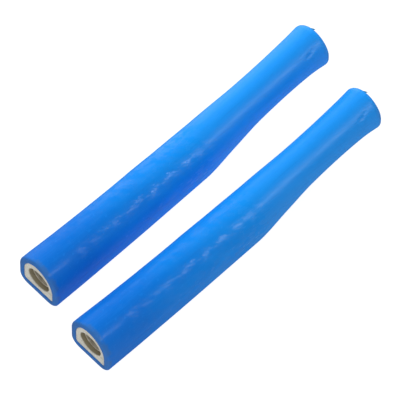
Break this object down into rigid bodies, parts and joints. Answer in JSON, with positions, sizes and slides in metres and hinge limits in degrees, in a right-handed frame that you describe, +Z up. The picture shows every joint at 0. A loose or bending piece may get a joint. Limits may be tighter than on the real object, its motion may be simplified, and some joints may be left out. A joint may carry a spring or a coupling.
{
  "type": "focus training sticks",
  "caption": "Pair of padded foam sticks with an arched section, a flat underside, an open end showing the foam core and a slimmer rounded grip, for martial arts target drills.",
  "frame": {"origin": "middle of the pair's bounding box, at the height of the surface that the flat undersides lie on", "axes": "+Z up, +Y from the open mouths towards the pommels, +X from the left stick to the right stick"},
  "size_m": [0.163, 0.4556, 0.0774],
  "materials": {
    "blue_vinyl": "soft gloss dipped vinyl skin",
    "blue_foam": "matte closed-cell foam",
    "white_foam": "matte cut foam",
    "tube_plastic": "matte rigid plastic",
    "plug_plastic": "matte foam plug"
  },
  "bodies": {
    "left_stick": {"left_stick_cover": "blue_vinyl", "left_stick_padding": "blue_foam", "left_stick_core": "white_foam", "left_stick_tube": "tube_plastic", "left_stick_tube_plug": "plug_plastic"},
    "right_stick": {"right_stick_cover": "blue_vinyl", "right_stick_padding": "blue_foam", "right_stick_core": "white_foam", "right_stick_tube": "tube_plastic", "right_stick_tube_plug": "plug_plastic"}
  },
  "joints": [
    {"name": "lift_right_stick", "type": "slide", "parent": "left_stick", "child": "right_stick", "axis": [0, 0, 1], "range_m": [0, 0.15]}
  ]
}
